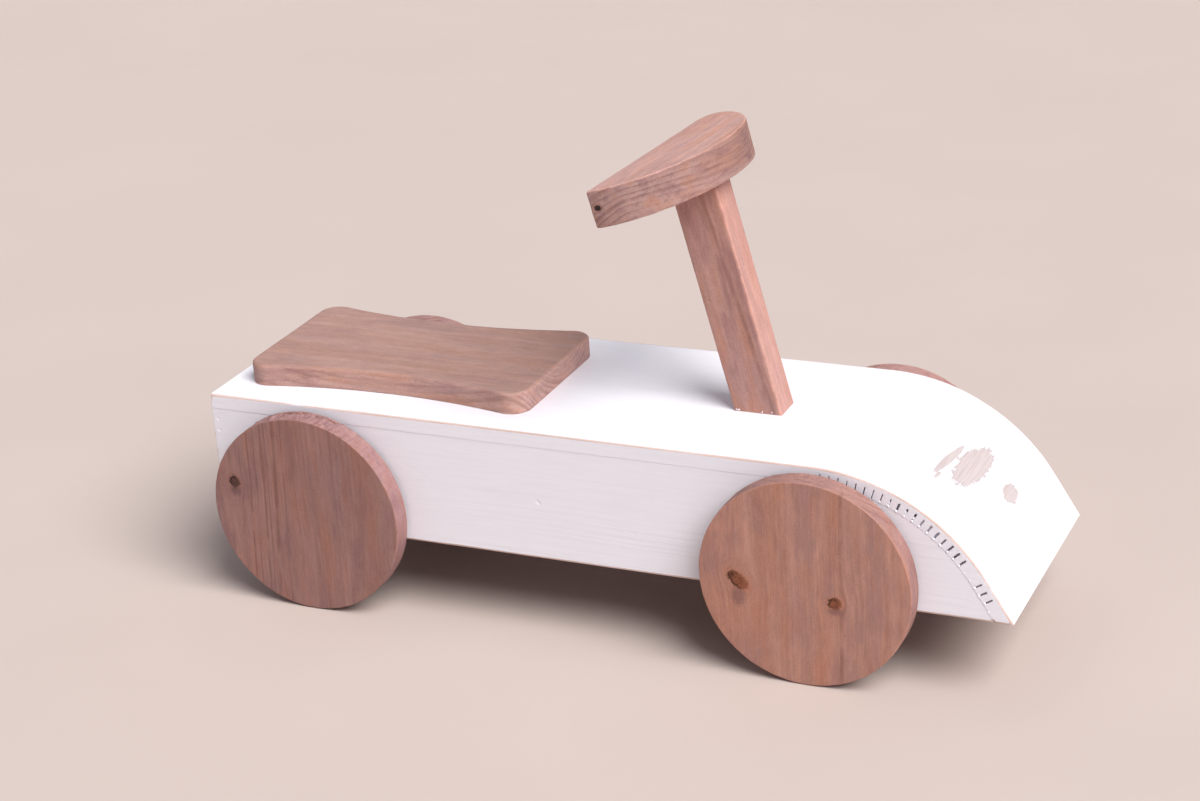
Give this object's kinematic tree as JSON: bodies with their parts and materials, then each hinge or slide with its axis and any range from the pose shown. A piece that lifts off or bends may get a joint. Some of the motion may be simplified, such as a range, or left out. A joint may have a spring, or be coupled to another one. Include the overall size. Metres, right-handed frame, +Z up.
{
  "type": "wooden toddler ride-on balance bike",
  "caption": "Low wooden ride-on with a painted box body bent down at the nose, waisted seat board, leaning post with D-shaped handlebar, and disc wheels on dowel axles.",
  "frame": {"origin": "on the ground under the middle of the body's length and width", "axes": "+X towards the nose, +Y to the rider's left, +Z up; the axles lie along Y"},
  "size_m": [0.67, 0.243, 0.3888],
  "materials": {
    "white_paint": "satin white paint over softwood, sanded through along the edges",
    "stained_wood": "pinkish-brown stain, matt, open grain",
    "raw_wood": "bare softwood",
    "steel": "zinc plated"
  },
  "bodies": {
    "chassis": {"side_panel_right": "white_paint", "side_panel_left": "white_paint", "top_board": "white_paint", "rear_panel": "white_paint", "nose_block": "raw_wood", "front_brace": "raw_wood", "rear_brace": "raw_wood", "glue_strip_right": "raw_wood", "glue_strip_left": "raw_wood", "post_block": "raw_wood", "rear_nails": "steel", "steering_post": "stained_wood", "post_screws": "steel", "handlebar": "stained_wood", "handlebar_dowels": "raw_wood", "seat_board": "stained_wood", "seat_screws": "steel"},
    "front_wheelset": {"front_axle": "raw_wood", "wheel_front_right": "stained_wood", "wheel_front_left": "stained_wood", "front_spacers": "raw_wood"},
    "rear_wheelset": {"rear_axle": "raw_wood", "wheel_rear_right": "stained_wood", "wheel_rear_left": "stained_wood", "rear_spacers": "raw_wood"}
  },
  "joints": [
    {"name": "front_roll", "type": "hinge", "parent": "chassis", "child": "front_wheelset", "pos_m": [0.181, 0, 0.084], "axis": [0, 1, 0], "continuous": true},
    {"name": "rear_roll", "type": "hinge", "parent": "chassis", "child": "rear_wheelset", "pos_m": [-0.244, 0, 0.084], "axis": [0, 1, 0], "continuous": true}
  ]
}
